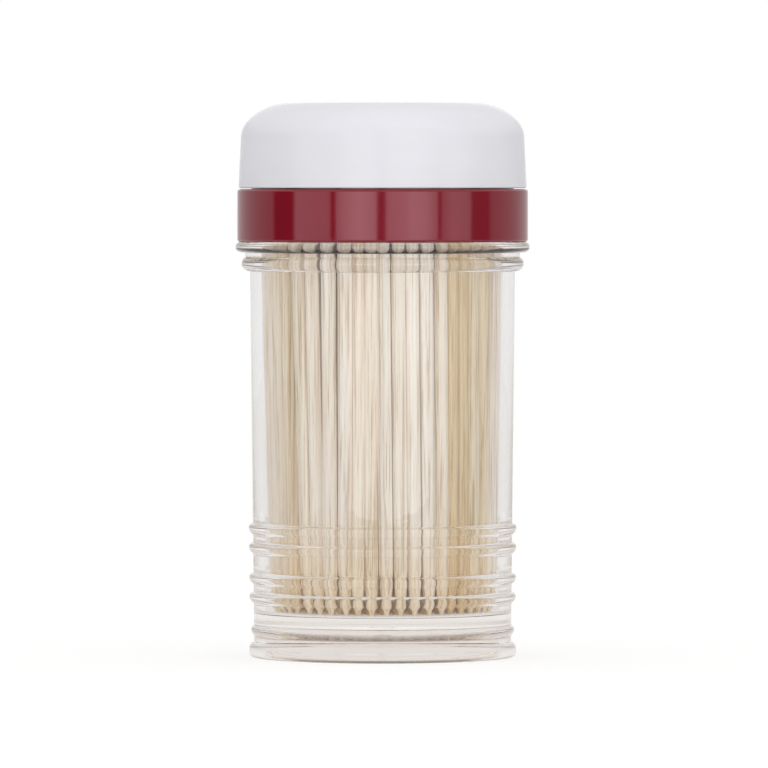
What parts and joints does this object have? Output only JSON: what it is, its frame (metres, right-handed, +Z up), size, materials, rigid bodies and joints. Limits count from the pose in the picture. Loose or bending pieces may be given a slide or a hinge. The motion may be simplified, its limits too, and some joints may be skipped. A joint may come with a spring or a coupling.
{
  "type": "toothpick dispenser",
  "caption": "Round clear ribbed jar of wooden toothpicks with a push-on collar and a turning dome cap that lets one toothpick out at a time.",
  "frame": {"origin": "centre of the foot ring on the table plane", "axes": "+Z up along the jar's axis, -Y towards the front of the picture"},
  "size_m": [0.049, 0.049, 0.0923],
  "materials": {
    "clear_plastic": "clear moulded polystyrene, polished",
    "red_plastic": "dark red moulded plastic, glossy",
    "white_plastic": "white moulded plastic, glossy",
    "wood": "plain pale birch or bamboo, unfinished"
  },
  "bodies": {
    "jar": {"jar": "clear_plastic", "toothpick_row_1": "wood", "toothpick_row_2": "wood", "toothpick_row_3": "wood", "toothpick_row_4": "wood", "toothpick_row_5": "wood", "toothpick_row_6": "wood", "toothpick_row_7": "wood", "toothpick_row_8": "wood", "toothpick_centre": "wood"},
    "collar": {"collar": "red_plastic"},
    "cap": {"cap": "white_plastic"}
  },
  "joints": [
    {"name": "lid_lift", "type": "slide", "parent": "jar", "child": "collar", "axis": [0, 0, 1], "range_m": [0, 0.03]},
    {"name": "cap_turn", "type": "hinge", "parent": "collar", "child": "cap", "pos_m": [0, 0, 0.078], "axis": [0, 0, 1], "range_deg": [0, 90]}
  ]
}
